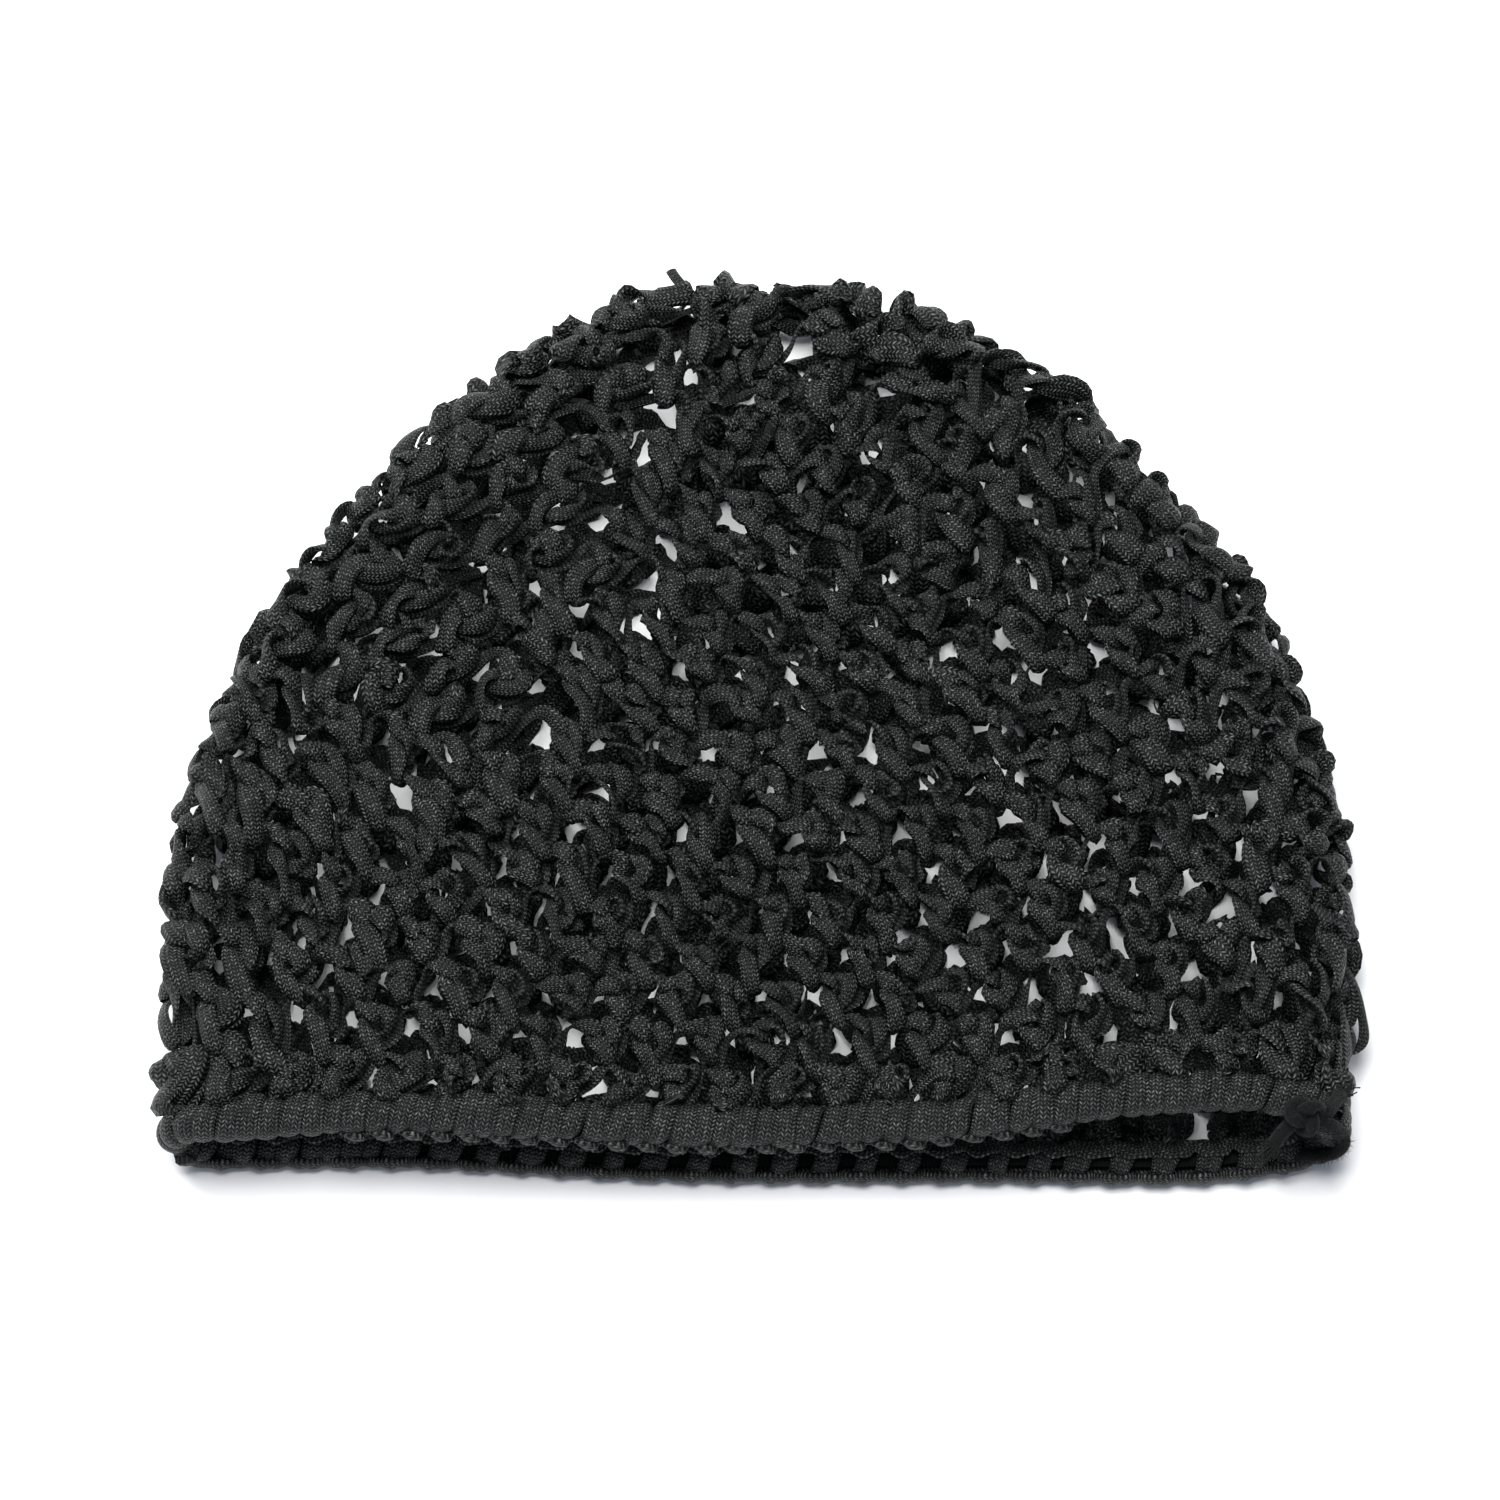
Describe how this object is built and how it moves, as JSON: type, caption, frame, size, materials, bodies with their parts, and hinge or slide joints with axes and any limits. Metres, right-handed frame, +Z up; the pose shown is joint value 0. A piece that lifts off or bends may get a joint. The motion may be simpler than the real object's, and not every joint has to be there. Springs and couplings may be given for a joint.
{
  "type": "hair net",
  "caption": "Flat-lying crocheted ribbon hair net: a domed open-stitch crown with a rolled rim over a knotted round elastic, worn over the hair.",
  "frame": {"origin": "on the surface that the net lies on, under the middle of its box", "axes": "+X to the wearer's side with the elastic's knot, +Y from the mouth towards the crown, +Z up from the surface"},
  "size_m": [0.1901, 0.15, 0.0244],
  "materials": {
    "ribbon": "black knitted ribbon, soft with a slight lustre",
    "elastic": "black fuzzy covered elastic"
  },
  "bodies": {
    "root": {"crown_net": "ribbon", "rim_band": "ribbon", "elastic_cord": "elastic"}
  },
  "joints": []
}
